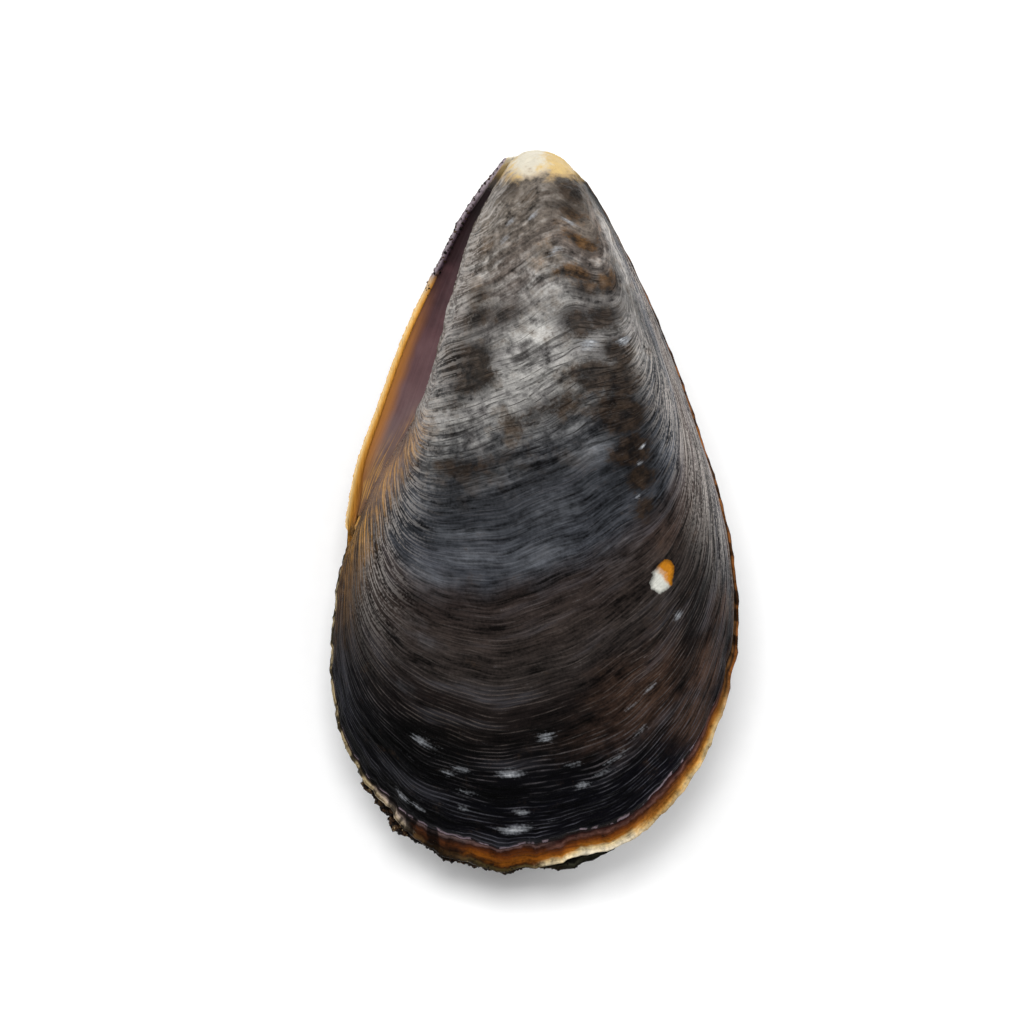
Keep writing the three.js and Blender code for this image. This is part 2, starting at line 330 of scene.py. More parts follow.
# How strongly a list of spots covers each place, 1 at a spot's middle.
def spotField(spots, x, y, growth):
    field = np.zeros_like(x)
    for spotX, spotY, halfLength, halfWidth, strength in spots:
        away = (x - spotX) ** 2 + (y - spotY) ** 2
        nearest = np.unravel_index(np.argmin(away), away.shape)
        acrossLines = (growth - growth[nearest]) * shellForm["growthLength"] / halfWidth
        field = np.maximum(field, strength * np.exp(-0.7 * (away / halfLength ** 2 + acrossLines ** 2)))
    return field


# Ledges of the growth, the step down to the newest growth, and the chip.
def faceRise(valve, place, t, c):
    fromEdge = marginDistance(valve, place, c)
    band = np.interp(c, valve["bandPlaces"], valve["bandWidths"])
    slope = smoothstep(fromEdge, band, band + shellForm["lipSlope"])
    lip = valve["lipHeight"] * np.clip(band, 0, 1) * (1 - slope)
    ledge = (t * shellForm["ledgeCount"]) % 1
    ledge = smoothstep(ledge, 0, 0.85) * (1 - smoothstep(ledge, 0.88, 1))
    strength = smoothstep(t, 0.3, 0.6) * (1 - smoothstep(t, 0.9, 0.97)) * np.sin(math.pi * c)
    chip = spotField(valve["chip"], place[..., 0], place[..., 1], broadGrowth(t))
    dent = valve["chipDepth"] * smoothstep(chip, 0.4, 0.6)
    inside = (t > 0) & (t < 1) & (c > 0) & (c < 1)
    return (shellForm["ledgeHeight"] * ledge * strength - lip - dent) * inside


def outerFace(valve, t, c):
    place = unevenFace(valve, t, c)
    place = place + faceNormal(valve, t, c) * faceRise(valve, place, t, c)[..., None]
    place[..., 2] = np.maximum(place[..., 2], -0.1) + shellForm["edgeHeight"]
    return place


def innerFace(valve, t, c):
    form = shellForm
    place = unevenFace(valve, t, c)
    upright = np.maximum(faceNormal(valve, t, c)[..., 2], 0.1)
    wall = form["wall"] + (form["marginWall"] - form["wall"]) * smoothstep(t, 0.8, 1)
    place[..., 2] = np.maximum(place[..., 2] + form["edgeHeight"] - wall / upright, 0)
    return place


# Distance in plan from the valve's outline, and the place on it: 0 to 1 down the hinge,
# 1 to 2 round the margin, 2 to 3 over the umbo.
def outlineDistance(valve, plan):
    share = np.linspace(0, 1, 240)
    ways = (("hinge", share), ("margin", share), ("umbo", share[::-1]))
    outline = np.concatenate([smoothPath(valve[name], way) for name, way in ways])
    places = np.concatenate([share, 1 + share, 2 + share])
    distance = np.empty(len(plan))
    nearest = np.empty(len(plan))
    for start in range(0, len(plan), 4000):
        block = slice(start, start + 4000)
        away = np.linalg.norm(plan[block, None, :] - outline[None], axis=-1)
        distance[block] = away.min(1)
        nearest[block] = places[away.argmin(1)]
    return distance, nearest


# The face's edge as rows and columns: down the hinge, round the margin and back over the umbo.
def edgeLoop(rows, columns):
    row = [np.arange(rows + 1), np.full(columns, rows), np.zeros(columns - 1, int)]
    column = [np.zeros(rows + 1, int), np.arange(1, columns + 1), np.arange(columns - 1, 0, -1)]
    return np.concatenate(row), np.concatenate(column)


# Rings of the rounded rim, from the outer face's edge down to the plane where the valves meet.
def rimRings(valve, edge, t, c):
    low = edge * (1, 1, 0)
    run = np.roll(edge[:, :2], -2, 0) - np.roll(edge[:, :2], 2, 0)
    outward = unit(np.stack([run[:, 1], -run[:, 0], np.zeros(len(run))], -1))
    rings = []
    for ring in range(1, shellMesh["rimRings"] + 1):
        angle = math.pi * ring / shellMesh["rimRings"]
        lumps = 1 + 0.5 * unevenness(c * 300 + ring * 2 + t * 90, valve["seed"])
        bulge = shellMesh["rimBulge"] * math.sin(angle) * lumps[:, None]
        rings.append((edge + low) / 2 + (edge - low) / 2 * math.cos(angle) + outward * bulge)
    return rings


# Numbers of the inner face's vertices: new ones from a start, and the last ring's all round them.
def innerIndexes(shape, start, last, rows):
    index = np.zeros(shape, int)
    index[1:-1, 1:-1] = start + np.arange((shape[0] - 2) * (shape[1] - 2)).reshape(shape[0] - 2, -1)
    index[:, 0] = last[:rows + 1:shellMesh["innerStep"]]
    index[-1, :] = last[rows:rows + shape[1]]
    index[:, -1] = last[rows + shape[1] - 1]
    index[0, 1:-1] = last[rows + shape[1]:][::-1]
    return index


def sheetQuads(index):
    corners = [index[:-1, :-1], index[1:, :-1], index[1:, 1:], index[:-1, 1:]]
    return np.stack(corners, -1).reshape(-1, 4)


# What a valve's finish and node trees need to know of each vertex.
def valveAttributes(valve, place, t, c, kind, edgeDistance, edgePlace):
    x, y = place[:, 0], place[:, 1]
    growth = broadGrowth(t)
    fromEdge = marginDistance(valve, place, c)
    band = np.interp(c, valve["bandPlaces"], valve["bandWidths"])
    calm = smoothstep(t, 0, 0.02) * (1 - smoothstep(t, 0.99, 1)) * smoothstep(c, 0, 0.02)
    calm = calm * (1 - smoothstep(c, 0.95, 0.995))
    onHinge = (edgePlace < 1) * 1.0
    crust = np.interp(c, valve["crustPlaces"], valve["crustSizes"]) * (kind != innerKind)
    hingeCrust = onHinge * smoothstep(y, 19, 21) * (1 - smoothstep(edgeDistance, 0.4, 0.8))
    hingeCrust = valve["hingeCrust"] * hingeCrust * (kind != outerKind)
    attributes = {
        "growth": growth,
        "across": c,
        "inside": kind,
        "fromEdge": fromEdge,
        "bandShare": fromEdge / np.maximum(band, 0.05),
        "edgeDistance": edgeDistance,
        "onHinge": onHinge,
        "relief": calm * (kind == outerKind),
        "crust": crust * (fromEdge < shellForm["crustReach"]) + hingeCrust,
        "lump": np.zeros_like(c),
    }
    for name in ("flecks", "haze", "stains", "browns", "chip"):
        attributes[name] = spotField(valve[name], x, y, growth)
    return attributes


# The valve as one closed mesh of an outer face, a rounded rim and an inner face.
def valveMeshData(valve):
    rows, columns, step = shellMesh["rows"][valve["side"]], shellMesh["columns"], shellMesh["innerStep"]
    t, c = growthGrid(rows, columns)
    loop = edgeLoop(rows, columns)
    outer = outerFace(valve, t, c)
    rings = rimRings(valve, outer[loop], t[loop], c[loop])
    inner = innerFace(valve, t[::step], c[::step])
    place = np.concatenate([outer.reshape(-1, 3), *rings, inner[1:-1, 1:-1].reshape(-1, 3)])

    outerIndex = np.arange(t.size).reshape(t.shape)
    ringIndexes = np.arange(t.size, t.size + len(rings) * len(loop[0])).reshape(len(rings), -1)
    ringIndexes = [outerIndex[loop], *ringIndexes]
    last = ringIndexes[-1]
    innerIndex = innerIndexes(inner.shape[:2], last[-1] + 1, last, rows)
    sheets = [sheetQuads(outerIndex)]
    for above, below in zip(ringIndexes[:-1], ringIndexes[1:]):
        sheets.append(np.stack([above, below, np.roll(below, -1), np.roll(above, -1)], -1))
    sheets.append(sheetQuads(innerIndex[:, 1:])[:, ::-1])
    faces = np.concatenate(sheets).tolist()
    # On the hinge side each row of the inner face meets several places of the last ring.
    for k in range(len(innerIndex) - 1):
        faces.append(innerIndex[k:k + 2, 1].tolist() + last[k * step:(k + 1) * step + 1][::-1].tolist())
    if valve["side"] < 0:
        faces = [face[::-1] for face in faces]

    def gathered(values):
        middle = values[::step][1:-1, 1:-1]
        return np.concatenate([values.ravel(), *[values[loop]] * len(rings), middle.ravel()])

    counts = [t.size, len(rings) * len(last), len(place) - last[-1] - 1]
    kind = np.repeat([outerKind, rimKind, innerKind], counts)
    edgeDistance, edgePlace = outlineDistance(valve, place[:, :2])
    attributes = valveAttributes(valve, place, gathered(t), gathered(c), kind, edgeDistance, edgePlace)
    # The lower valve's inner face swells into a smooth ridge beside the ligament.
    if valve["side"] < 0:
        ridge = np.exp(-((edgeDistance - 0.3) / 0.3) ** 2) * smoothstep(edgePlace, 0.04, 0.2)
        ridge = ridge * (1 - smoothstep(edgePlace, 0.9, 0.99)) * (kind == innerKind)
        place[:, 2] -= shellForm["hingeRidge"] * ridge
    return setDown(valve["side"], place), faces, attributes


def makeMeshObject(name, points, faces, attributes):
    mesh = bpy.data.meshes.new(name)
    mesh.from_pydata(points.tolist(), [], faces)
    for key, values in attributes.items():
        layer = mesh.attributes.new(key, "FLOAT", "POINT")
        layer.data.foreach_set("value", np.asarray(values, np.float32))
    work = bmesh.new()
    work.from_mesh(mesh)
    bmesh.ops.remove_doubles(work, verts=work.verts, dist=1e-7)
    bmesh.ops.dissolve_degenerate(work, edges=work.edges, dist=1e-8)
    work.to_mesh(mesh)
    work.free()
    thing = bpy.data.objects.new(name, mesh)
    bpy.context.scene.collection.objects.link(thing)
    return thing


def handOver(thing, node):
    for polygon in thing.data.polygons:
        polygon.use_smooth = True
    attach(thing, "root")
    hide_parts(node)
    print(thing.name, "has", sum(len(p.vertices) - 2 for p in thing.data.polygons), "triangles")


# Small words for building node trees. Those for values find their tree from the sockets given.
def feed(socket, value):
    if isinstance(value, bpy.types.NodeSocket):
        socket.id_data.links.new(value, socket)
    else:
        socket.default_value = value


def addNode(tree, kind, inputs=(), **settings):
    node = tree.nodes.new(kind)
    for key, value in settings.items():
        setattr(node, key, value)
    for key, value in dict(inputs).items():
        feed(node.inputs[key], value)
    return node


def treeOf(values):
    return next(value.id_data for value in values if isinstance(value, bpy.types.NodeSocket))


def calculate(operation, *values, **settings):
    node = addNode(treeOf(values), "ShaderNodeMath", enumerate(values), operation=operation, **settings)
    return node.outputs[0]


def product(*values):
    return reduce(partial(calculate, "MULTIPLY"), values)


def greatest(*values):
    return reduce(partial(calculate, "MAXIMUM"), values)


def combine(operation, first, second):
    inputs = {0: first, "Scale" if operation == "SCALE" else 1: second}
    return addNode(treeOf((first, second)), "ShaderNodeVectorMath", inputs, operation=operation).outputs[0]


def scaled(vector, amount):
    return combine("SCALE", vector, amount)


def noiseAt(place, scale, detail=2.0, roughness=0.5):
    inputs = {"Vector": place, "Scale": scale, "Detail": detail, "Roughness": roughness}
    return addNode(place.id_data, "ShaderNodeTexNoise", inputs, noise_dimensions="3D").outputs[0]


# Noise that is drawn out along one way. Spacing is across it, in the unit of the length.
def lineNoise(length, along, spacing, stretch, seed=0, detail=2.0):
    parts = (calculate("DIVIDE", length, spacing), calculate("MULTIPLY", along, stretch), seed)
    return noiseAt(addNode(length.id_data, "ShaderNodeCombineXYZ", enumerate(parts)).outputs[0], 1, detail)


# 0 below low and 1 above high, or the other way round where low is the greater.
def between(value, low, high, least=0, most=1):
    if low > high:
        low, high, least, most = high, low, most, least
    limits = enumerate((value, low, high, least, most))
    return addNode(value.id_data, "ShaderNodeMapRange", limits, interpolation_type="SMOOTHSTEP").outputs[0]


# A value with noises added to it, each less its middle and times its amount.
def stirred(value, *noises):
    for noise, amount in noises:
        value = calculate("MULTIPLY_ADD", calculate("SUBTRACT", noise, 0.5), amount, value)
    return value


# Linear colour of a written colour such as "7d7468".
def tone(code):
    parts = [int(code[k:k + 2], 16) / 255 for k in (0, 2, 4)]
    return (*[part / 12.92 if part <= 0.04045 else ((part + 0.055) / 1.055) ** 2.4 for part in parts], 1)


def mixTones(share, *tones):
    first, second = (tone(value) if isinstance(value, str) else value for value in tones)
    inputs = {0: share, 6: first, 7: second}
    return addNode(share.id_data, "ShaderNodeMix", inputs, data_type="RGBA", clamp_factor=True).outputs[2]


# A colour under coats, each a (share, colour).
def coated(colour, *coats):
    for share, coat in coats:
        colour = mixTones(share, colour, coat)
    return colour


def toneRamp(value, stops):
    node = addNode(value.id_data, "ShaderNodeValToRGB", {0: value})
    elements = node.color_ramp.elements
    while len(elements) < len(stops):
        elements.new(0.5)
    for element, (place, code) in zip(elements, stops):
        element.position = place
    for element, (place, code) in zip(elements, stops):
        element.color = tone(code) if isinstance(code, str) else (code, code, code, 1)
    return node.outputs[0]


def newFinish(name):
    material = bpy.data.materials.new(name)
    material.use_nodes = True
    tree = material.node_tree
    return material, tree, tree.nodes["Principled BSDF"]


# Object coordinates in millimetres.
def placeInMillimetres(tree):
    return scaled(addNode(tree, "ShaderNodeTexCoord").outputs["Object"], 1 / mm)


def attributeOf(tree, name):
    return addNode(tree, "ShaderNodeAttribute", attribute_name=name).outputs["Fac"]


def addBump(shader, height):
    bump = addNode(height.id_data, "ShaderNodeBump", {"Strength": 1, "Distance": mm, "Height": height})
    feed(shader.inputs["Normal"], bump.outputs[0])


# The finish of a valve: its bands along the growth, what is worn, stained or chipped off, its rim, and its
# painted sheen, glints and shade.
shellPaint = {
    "bands": [
        (0, "736a60"), (0.09, "5e564f"), (0.13, "5a514b"), (0.2, "5a5654"), (0.26, "646160"),
        (0.31, "646160"), (0.36, "444445"), (0.41, "303134"), (0.5, "292b2f"), (0.56, "303237"),
        (0.6, "2a2321"), (0.66, "2e2724"), (0.71, "2a2523"), (0.77, "171211"), (0.84, "060506"),
        (0.9, "040408"), (1, "040309"),
    ],
    # Tones of the pale threads, which are partly painted glints.
    "threads": [
        (0, "9d9389"), (0.13, "786f65"), (0.28, "8c8b89"), (0.36, "6a6968"), (0.42, "4c4a4a"),
        (0.54, "56565a"), (0.63, "564e4b"), (0.8, "5e5550"), (0.92, "5a5a62"), (1, "60606a"),
    ],
    "threadSpacing": 0.42,
    # How strong the pale threads (partly painted glints), the haze (with its painted highlight on the crown)
    # and the stains are along the growth.
    "threadZones": [(0, 0.1), (0.36, 0.15), (0.45, 0.38), (0.7, 0.5), (0.8, 0.75), (1, 0.85)],
    "haze": "b8b6b2",
    "hazeCool": "a0a4ac",
    "hazeAndSheenZones": [
        (0, 0.3), (0.1, 0.22), (0.18, 0.33), (0.25, 0.5), (0.33, 0.55), (0.37, 0.34), (0.42, 0.14),
        (0.48, 0.1), (0.55, 0.18), (0.65, 0), (1, 0),
    ],
    # Tone of the painted sheen along the lines of the dark lower half.
    "paintedSheen": "4e4f56",
    # Painted shade in the wrinkles' grooves.
    "wrinkle": "0f0d0c",
    "stainZones": [(0, 0.2), (0.3, 0.2), (0.4, 0.05), (0.5, 0), (1, 0)],
    "stain": "34281e",
    "stainAmber": "5c4020",
    "stainDark": "100c0a",
    "flankLine": "b8b1ab",
    "olive": "5e4a33",
    "tanLight": "c08f4c",
    "tanBrown": "86643f",
    "tanDark": "281e19",
    "tanMauve": "6e5a54",
    "brown": "433127",
    "fleck": "8c8f94",
    "fleckPale": "c2c4c6",
    "lip": "9c8a94",
    "tipPale": "d1cab8",
    "tipYellow": "ccb078",
    "tipOrange": "a08058",
    "chipPale": "d3d3ca",
    "chipOrange": "be7a1d",
    "pearl": "a9adb5",
    "pearlEdge": "3a3a52",
    "hingeRim": [(0, "f0d4a0"), (0.12, "edbd70"), (0.3, "dc9a40"), (0.6, "bd7c32"), (1, "966644")],
    # The lower hinge's top: a pale beaded edge, then a dark band that is painted shade in the slit beside the
    # ligament.
    "hingeTopAndSlitShade": [(0, "998d93"), (0.25, "44363e"), (0.6, "25161d"), (1, "2a1a24")],
    "lumpDark": "130e0c",
    "lumpBrown": "3c2a1c",
    "lumpPale": "a08c68",
    "depth": 0.85,              # of all the tones above, against the bright light
    "shine": 0.05,
}

# The finish's noises: over the surface as (scale, detail, roughness), and drawn out along the growth
# lines as (spacing, stretch, seed, detail). Streaks of the arc noises keep their length near the umbo.
shellNoises = {
    "surface": {"cloud": (0.3, 5, 0.6), "patch": (1.1, 4, 0.6), "grain": (4, 3, 0.6)},
    "arc": {
        "fine": (0.2, 45, 0, 1), "middle": (0.6, 26, 5, 2), "strands": (0.42, 34, 3, 2),
        "clusters": (2.2, 9, 4, 3), "ripple": (0.9, 12, 13, 1.5), "creases": (0.7, 13, 6, 3),
    },
    "across": {
        "broad": (2.6, 7, 9, 2), "spread": (5, 7, 2, 1), "combed": (0.28, 14, 21, 2),
        "longStreaks": (0.26, 6, 22, 2), "breaks": (3, 95, 15, 2),
    },
}

# The newest growth, from the edge inwards, at places that follow each other round the edge, and
# where each of them gives way to the next.
newestTones = {
    1: [
        [(0, "6b5a40"), (0.25, "a39473"), (0.5, "5a4c3c"), (0.7, "1f1815"), (1, "120f10")],
        [(0, "3a2c20"), (0.14, "a09078"), (0.35, "a8988a"), (0.6, "6f625c"), (0.75, "241b18"), (1, "171112")],
        [(0, "33271a"), (0.12, "48341e"), (0.3, "2a170a"), (0.6, "42220e"), (0.8, "20120e"),
         (0.93, "5a4a48"), (1, "1c1110")],
        [(0, "362d1b"), (0.07, "463a20"), (0.15, "301b09"), (0.38, "78430f"), (0.65, "5a2c08"),
         (0.82, "30160b"), (0.92, "5f4844"), (1, "281613")],
        [(0, "cfc4ac"), (0.19, "c4ae82"), (0.31, "98601f"), (0.48, "703a10"), (0.67, "42200f"),
         (0.8, "5e4038"), (0.9, "331814"), (1, "1c1010")],
        [(0, "cdb384"), (0.12, "bd9252"), (0.28, "986226"), (0.5, "744218"), (0.66, "44220f"),
         (0.78, "5e4038"), (0.9, "331814"), (1, "1c1010")],
        [(0, "8a5426"), (0.25, "2e1f15"), (0.5, "664524"), (0.75, "231915"), (1, "1c1512")],
    ],
    -1: [
        [(0, "4c3f2e"), (0.3, "2a1f18"), (1, "14100e")],
        [(0, "2c2117"), (0.25, "4c3822"), (0.5, "1c140f"), (1, "120e0c")],
        [(0, "2c2117"), (0.25, "4c3822"), (0.5, "1c140f"), (1, "120e0c")],
        [(0, "2c2415"), (0.3, "251c12"), (1, "120e0c")],
        [(0, "17160f"), (0.2, "2e2e24"), (0.35, "100f0b"), (1, "0c0b0a")],
        [(0, "2a2015"), (0.4, "17120e"), (1, "100e0c")],
        [(0, "5a4326"), (0.4, "2c2018"), (1, "16110f")],
    ],
}
newestPlaces = [(0.222, 0.24), (0.262, 0.274), (0.305, 0.325), (0.362, 0.386), (0.435, 0.47), (0.56, 0.6)]


# What the coats of a valve's finish share.
def finishValues(tree, valve, paint):
    on = SimpleNamespace(side=valve["side"])
    place = placeInMillimetres(tree)
    on.x, on.y = addNode(tree, "ShaderNodeSeparateXYZ", {0: place}).outputs[:2]
    for name in ("across", "growth", "inside", "fromEdge", "edgeDistance", "onHinge", "bandShare",
                 "flecks", "haze", "stains", "browns", "chip", "lump"):
        setattr(on, name, attributeOf(tree, name))
    for name, settings in shellNoises["surface"].items():
        setattr(on, name, noiseAt(place, *settings))
    on.length = stirred(product(on.growth, shellForm["growthLength"]), (noiseAt(place, 0.15, 1), 1.4))
    arc = product(on.across, on.growth, 1.25)
    for group, along in (("arc", arc), ("across", on.across)):
        for name, (spacing, stretch, seed, detail) in shellNoises[group].items():
            noise = lineNoise(on.length, along, spacing, stretch, valve["seed"] + seed, detail)
            setattr(on, name, noise)
    on.scratches = lineNoise(on.length, on.across, 7, 260)
    on.worn = between(on.growth, 0.48, 0.34)
    on.blotches = between(on.growth, 0.52, 0.32, 0.8, 2.8)
    on.shift = stirred(on.growth, (on.broad, 0.07), (on.cloud, between(on.growth, 0.6, 0.45, 0.06, 0.16)))
    on.thread = threadShare(on, paint)
    on.wrinkle = wrinkleShare(on)
    on.hazeShare = hazeShare(on, paint)
    return on


# Thin pale threads, nearly evenly apart, that come and go along the growth lines: partly real pale growth
# lines, partly painted glints.
def threadShare(on, paint):
    turn = stirred(calculate("DIVIDE", on.length, paint["threadSpacing"]), (on.spread, 3))
    turn = calculate("FRACT", turn)
    return product(between(turn, 0.5, 0.75), between(turn, 1, 0.8),
                   between(stirred(on.strands, (on.clusters, 0.8)), 0.4, 0.75),
                   between(on.grain, 0.3, 0.6, 0.5, 1))


# Short dark wrinkles in the worn half, and thin dark lines nearer to the umbo, grooved in the bump; their
# dark colour is painted shade in the grooves.
def wrinkleShare(on):
    ripple = calculate("ABSOLUTE", stirred(0, (on.ripple, 1)))
    wrinkle = product(between(ripple, 0.05, 0), between(on.growth, 0.5, 0.4),
                      between(on.growth, 0.18, 0.28), between(on.patch, 0.42, 0.58))
    crease = product(between(on.creases, 0.43, 0.34), on.worn, between(on.growth, 0.06, 0.2, 0.2, 0.8))
    return greatest(wrinkle, crease)


# A grey haze, strongest on the crown and where the haze spots are: weathering, and on the crown also a
# painted highlight.
def hazeShare(on, paint):
    total = calculate("MULTIPLY_ADD", on.haze, 0.3, toneRamp(on.shift, paint["hazeAndSheenZones"]))
    amount = calculate("MULTIPLY_ADD", on.worn, 0.9, 0.3)
    total = stirred(total, (on.cloud, amount), (on.patch, amount), (on.middle, amount), (on.fine, 0.2))
    return product(between(total, 0.1, 1.2), greatest(between(on.shift, 0.72, 0.56), on.haze))


# Growth bands, darker and lighter line by line, and blotched where they are worn, with pale threads that are
# partly painted glints, a painted sheen, and a painted shadow on the lower left.
def bandColour(on, paint):
    lines = product(between(on.growth, 0.32, 0.5, 0.7, 2.1), between(on.across, 0.48, 0.64, 1, 1.6))
    shade = stirred(1, (on.broad, between(on.growth, 0.45, 0.6, 0.2, 1.6)), (on.fine, lines),
                    (on.middle, lines), (on.patch, on.blotches),
                    (on.grain, between(on.growth, 0.52, 0.32, 1.4, 1.5)), (on.clusters, 1.9),
                    (on.scratches, 0.3))
    on.shade = greatest(shade, 0.15)
    brown = stirred(on.browns, (on.cloud, 0.5), (on.patch, 0.4), (on.clusters, 0.9))
    # Soft bluish-grey smudges along the lines in the dark lower half: a painted sheen.
    paintedSheen = product(between(on.clusters, 0.53, 0.75), between(on.growth, 0.4, 0.5),
                     between(on.fine, 0.3, 0.65, 0.3, 1), 0.45)
    # Pale threads, partly painted glints.
    thread = product(on.thread, toneRamp(on.growth, paint["threadZones"]))
    colour = coated(
        scaled(toneRamp(on.shift, paint["bands"]), on.shade),
        (between(brown, 0.1, 1.1, 0, 0.75), scaled(tone(paint["brown"])[:3], on.shade)),
        (paintedSheen, paint["paintedSheen"]),
        (thread, toneRamp(on.shift, paint["threads"])))
    shadow = product(between(on.growth, 0.68, 0.84), between(on.across, 0.36, 0.24),
                     between(on.y, -16, -21), between(on.clusters, 0.62, 0.42, 0.6, 1))
    return scaled(colour, calculate("MULTIPLY_ADD", shadow, -0.92, 1))


# The haze, partly weathering and partly a painted highlight on the crown, with olive clouds in it.
def addHazeAndSheen(colour, on, paint):
    shade = stirred(0, (on.grain, 0.7), (on.fine, 0.6), (on.patch, 2.4), (on.middle, 0.7), (on.cloud, 2.2))
    shade = product(shade, between(on.growth, 0.3, 0.15, 0.6, 1.8), between(on.worn, 0, 1, 0.25, 1))
    shade = greatest(calculate("ADD", shade, 1), 0.25)
    # On the crown this pale tone is a painted highlight as well as weathering.
    haze = scaled(mixTones(on.worn, paint["hazeCool"], paint["haze"]), shade)
    olive = product(between(on.cloud, 0.5, 0.66), on.worn, 0.55)
    return coated(colour, (product(on.hazeShare, 0.8), haze),
                  (olive, scaled(tone(paint["olive"])[:3], on.shade)))


# Brown and near-black stains, amber ones near the umbo, and over them the wrinkles in painted shade.
def addStains(colour, on, paint):
    total = calculate("ADD", on.stains, toneRamp(on.growth, paint["stainZones"]))
    total = stirred(total, (on.cloud, 1.7), (on.patch, 1.2), (on.grain, 0.9), (on.middle, 0.9))
    amber = product(between(on.y, 19, 21.5), between(on.y, 27.5, 25.5))
    stain = mixTones(amber, paint["stain"], paint["stainAmber"])
    stain = mixTones(between(on.patch, 0.35, 0.7), paint["stainDark"], stain)
    return coated(colour, (product(between(total, 0.15, 1.05), 0.92), stain),
                  (product(on.wrinkle, 0.75), paint["wrinkle"]))


# Pale lines crowd on both flanks, and the right flank is painted paler as a whole, most along its steep edge:
# painted light.
def addFlankLinesAndLight(colour, on, paint):
    lines = between(stirred(on.combed, (on.grain, 0.5), (on.fine, 0.4)), 0.47, 0.6)
    right = product(between(on.across, 0.58, 0.7), between(on.y, -13, 0))
    inner = product(right, between(on.y, 20, 13))
    outer = product(right, between(on.edgeDistance, 1.7, 0.6), between(on.y, 29, 24))
    left = product(between(on.across, 0.24, 0.12), between(on.growth, 0.85, 0.65), 0.55)
    # Painted light: the right flank is lifted as a whole, and most along its steep edge.
    paintedFlankLight = calculate("MULTIPLY_ADD", outer, 2, product(inner, between(on.y, 8, 2, 0.7, 2.4)))
    colour = scaled(colour, calculate("ADD", paintedFlankLight, 1))
    return mixTones(product(greatest(inner, outer, left), lines, 0.88), colour, paint["flankLine"])


# Tan streaks along the lower hinge and down the right edge.
def addTanStreaks(colour, on, paint):
    left = product(between(on.y, 11, 4), between(on.y, -15, -4), between(on.edgeDistance, 3.4, 0.3),
                   between(on.across, 0.2, 0.12), 0.85)
    right = product(between(on.y, 16, 8), between(on.y, -21, -12), between(on.fromEdge, 1.9, 0.2),
                    between(on.across, 0.5, 0.6), 0.8)
    streaks = product(between(stirred(on.longStreaks, (on.patch, 0.3)), 0.47, 0.6),
                      greatest(between(on.edgeDistance, -0.3, 0.7), between(on.y, 1, -2)))
    mauve = product(between(on.y, -2, 4), between(on.edgeDistance, 3.4, 1))
    tan = mixTones(streaks, mixTones(mauve, paint["tanDark"], paint["tanMauve"]),
                   mixTones(between(on.y, -6, -1), paint["tanBrown"], paint["tanLight"]))
    corner = product(between(on.across, 0.03, 0.015), between(on.fromEdge, 1.2, 0.6))
    return coated(colour, (greatest(left, right), tan), (corner, paint["tanLight"]))


# White flecks drawn out along the lines.
def addFlecks(colour, on, paint):
    total = stirred(on.flecks, (on.middle, 0.8), (on.fine, 1.2), (on.grain, 1))
    fleck = mixTones(between(total, 0.85, 1.4), paint["fleck"], paint["fleckPale"])
    return mixTones(between(total, 0.3, 1.25, 0, 0.95), colour, fleck)


# The newest growth beyond the pale lip, broken here and there.
def addNewestGrowth(colour, on, paint):
    share = stirred(on.bandShare, (on.cloud, 0.45), (on.middle, 0.2), (on.patch, 0.22))
    around = stirred(on.across, (on.patch, 0.03))
    first, *others = (toneRamp(share, stops) for stops in newestTones[on.side])
    newest = coated(first, *((between(around, *ends), ramp) for ramp, ends in zip(others, newestPlaces)))
    shade = stirred(1, (on.fine, 1.2), (on.grain, 1.2), (on.patch, 1.7), (on.clusters, 0.8), (on.breaks, 1.5))
    fromMiddle = calculate("ABSOLUTE", calculate("SUBTRACT", on.across, 0.45))
    notch = greatest(between(on.breaks, 0.45, 0.54, 0.2, 1), between(fromMiddle, 0.17, 0.13))
    newest = scaled(newest, product(greatest(shade, 0.2), notch))
    lip = product(between(share, 0.98, 1.03), between(share, 1.14, 1.05),
                  between(on.breaks, 0.47, 0.54, 0, 0.9))
    return coated(colour, (between(share, 1.06, 1), newest), (lip, paint["lip"]))


# The worn umbo.
def addTip(colour, on, paint):
    height = stirred(on.y, (on.cloud, 2.4), (on.patch, 2.4))
    side = calculate("ABSOLUTE", calculate("ADD", on.x, 0.5))
    yellow = between(stirred(side, (on.patch, 5), (on.cloud, 3)), 0.6, 2.2)
    tip = coated(mixTones(yellow, paint["tipPale"], paint["tipYellow"]),
                 (product(between(height, 31.2, 30.2), 0.45), paint["tipOrange"]))
    return mixTones(between(height, 29.5, 30.9), colour, tip)


# The chip is orange towards the umbo and the flank, and darker at its rim, which is painted shade at the
# dent's edge.
def addChip(colour, on, paint):
    share = stirred(on.chip, (on.patch, 0.5))
    side = stirred(calculate("MULTIPLY_ADD", on.x, 0.6, product(on.y, 0.5)), (on.patch, 1))
    chip = mixTones(between(side, 3.95, 4.45), paint["chipPale"], paint["chipOrange"])
    # Painted shade: the chip darkens towards its rim.
    chip = scaled(chip, stirred(between(share, 0.45, 0.75, 0.45, 1), (on.grain, 0.6)))
    return mixTones(between(share, 0.4, 0.5), colour, chip)


